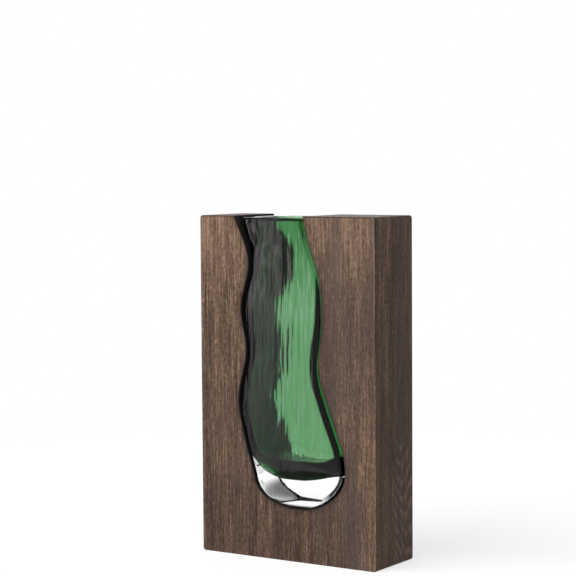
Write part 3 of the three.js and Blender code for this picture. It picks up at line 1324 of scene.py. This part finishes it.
class VASE_OT_stage(bpy.types.Operator):
    """Sets up the floor, the studio light and the camera"""

    bl_idname = "vase.stage"
    bl_label = "Stage"

    def execute(self, context):
        settings = context.scene.vase_stage
        self.floor(settings)
        self.room(context.scene, settings)
        self.lamp(context.scene, settings)
        self.camera(context.scene, settings)
        context.scene.view_settings.view_transform = "Standard"
        return {"FINISHED"}

    def floor(self, settings):
        """A pale round floor that looks white."""
        fresh_start()
        bpy.ops.mesh.primitive_circle_add(
            vertices=FLOOR_SIDES, radius=FLOOR_RADIUS, fill_type="NGON", location=(0, 0, 0)
        )
        floor = bpy.context.object
        floor.name = "floor"
        material, paint = new_paint("pale_floor")
        strength = seen_directly(paint) * settings.glow
        matt = paint.node("ShaderNodeBsdfDiffuse", None, {"Color": settings.floor})
        glow = paint.node("ShaderNodeEmission", None, {"Color": (1, 1, 1), "Strength": strength})
        both = paint.node("ShaderNodeAddShader", None, {0: matt, 1: glow})
        paint.node("ShaderNodeOutputMaterial", None, {"Surface": both})
        floor.data.materials.append(material)

    def room(self, scene, settings):
        """A white room that lights softly, with panels that only a gloss shows."""
        world = bpy.data.worlds.new("studio")
        world.use_nodes = True
        scene.world = world
        paint = Paint(world.node_tree)
        toward = paint.node("ShaderNodeTexCoord", output="Generated")
        height = paint.part(toward, "Z")
        glossy = paint.node("ShaderNodeLightPath", output="Is Glossy Ray")
        through = paint.node("ShaderNodeLightPath", output="Is Transmission Ray")
        mirrored = glossy * (1 - through)
        seen = seen_directly(paint) - mirrored
        panels = self.panels(paint, toward, height) - settings.fill
        dim_ceiling = through * height.over(*CEILING_HEIGHT) * CEILING_DIM
        strength = settings.fill + seen * (1 - settings.fill) + mirrored * panels - dim_ceiling
        back = paint.node("ShaderNodeBackground", None, {"Color": (1, 1, 1), "Strength": strength})
        paint.node("ShaderNodeOutputWorld", None, {"Surface": back})

    def panels(self, paint, toward, height):
        """Brightness of the panels: a wide one in front, a barred veil on its left, a low strip
        at the left and one behind it."""
        left = 0 - paint.part(toward, "X")
        front = 0 - paint.part(toward, "Y")
        sweep = left.maths("ARCTAN2", left, front)
        turn = sweep * math.degrees(1)
        wide = 1 - turn.over(*PANEL_END)
        bars = sweep.maths("COSINE", sweep * BARS_PER_TURN - BARS_START)
        bars = bars * (BARS_LIGHT + height.over(*BARS_HEIGHT) * BARS_RISE)
        veil = turn.over(*VEIL_START) * wide * (VEIL_LIGHT + height.over(*VEIL_HEIGHT) * VEIL_RISE)
        strip = turn.over(*STRIP_START) * (1 - turn.over(*STRIP_END))
        strip = strip * (1 - height.over(*STRIP_TOP))
        behind = (0 - front).over(0.1, 0.5) * left.over(0, 0.3)
        panels = DARK_LIGHT + wide * PANEL_LIGHT + veil * (1 + bars)
        return panels + strip * STRIP_LIGHT + behind * BEHIND_LIGHT

    def lamp(self, scene, settings):
        """A wide lamp from the front left that no glass shows."""
        data = bpy.data.lights.new("key", "SUN")
        data.energy = settings.key_strength
        data.angle = settings.key_spread
        lamp = bpy.data.objects.new("key", data)
        scene.collection.objects.link(lamp)
        lamp.rotation_euler = Vector(LAMP_FROM).to_track_quat("Z", "Y").to_euler()
        lamp.visible_glossy = False
        lamp.visible_transmission = False

    def camera(self, scene, settings):
        """A camera at the photograph's angle."""
        data = bpy.data.cameras.new("camera")
        data.sensor_width = SENSOR_WIDTH
        data.sensor_fit = "HORIZONTAL"
        data.lens = settings.lens
        camera = bpy.data.objects.new("camera", data)
        scene.collection.objects.link(camera)
        turn = Matrix.Rotation(CAMERA_TURN, 4, "Z")
        tilt = Matrix.Rotation(CAMERA_TILT, 4, "X")
        roll = Matrix.Rotation(CAMERA_ROLL, 4, "Z")
        camera.matrix_world = Matrix.Translation(CAMERA_PLACE) @ turn @ tilt @ roll
        scene.camera = camera


class VASE_PT_panel(bpy.types.Panel):
    """The vase's pieces and their sizes"""

    bl_idname = "VASE_PT_panel"
    bl_label = "Vase"
    bl_space_type = "VIEW_3D"
    bl_region_type = "UI"
    bl_category = "Vase"

    def draw(self, context):
        for name, (_, operator) in GROUPS.items():
            box = self.layout.box()
            box.operator(operator.bl_idname)
            group = getattr(context.scene, name)
            for setting in group.__annotations__:
                box.prop(group, setting)


GROUPS = {
    "vase_block": (VaseBlockSettings, VASE_OT_wood_block),
    "vase_green": (VaseGreenSettings, VASE_OT_green_vessel),
    "vase_foot": (VaseFootSettings, VASE_OT_clear_foot),
    "vase_stage": (VaseStageSettings, VASE_OT_stage),
}


def register():
    """Adds the settings, the operators and the panel to Blender."""
    for name, (settings, operator) in GROUPS.items():
        bpy.utils.register_class(settings)
        bpy.utils.register_class(operator)
        setattr(bpy.types.Scene, name, bpy.props.PointerProperty(type=settings))
    bpy.utils.register_class(VASE_PT_panel)


def unregister():
    """Takes them away again."""
    bpy.utils.unregister_class(VASE_PT_panel)
    for name, (settings, operator) in GROUPS.items():
        delattr(bpy.types.Scene, name)
        bpy.utils.unregister_class(operator)
        bpy.utils.unregister_class(settings)


def main():
    """Models the pieces and the stage."""
    register()
    bpy.ops.vase.wood_block()
    bpy.ops.vase.green_vessel()
    bpy.ops.vase.clear_foot()
    bpy.ops.vase.stage()


if __name__ == "__main__":
    main()
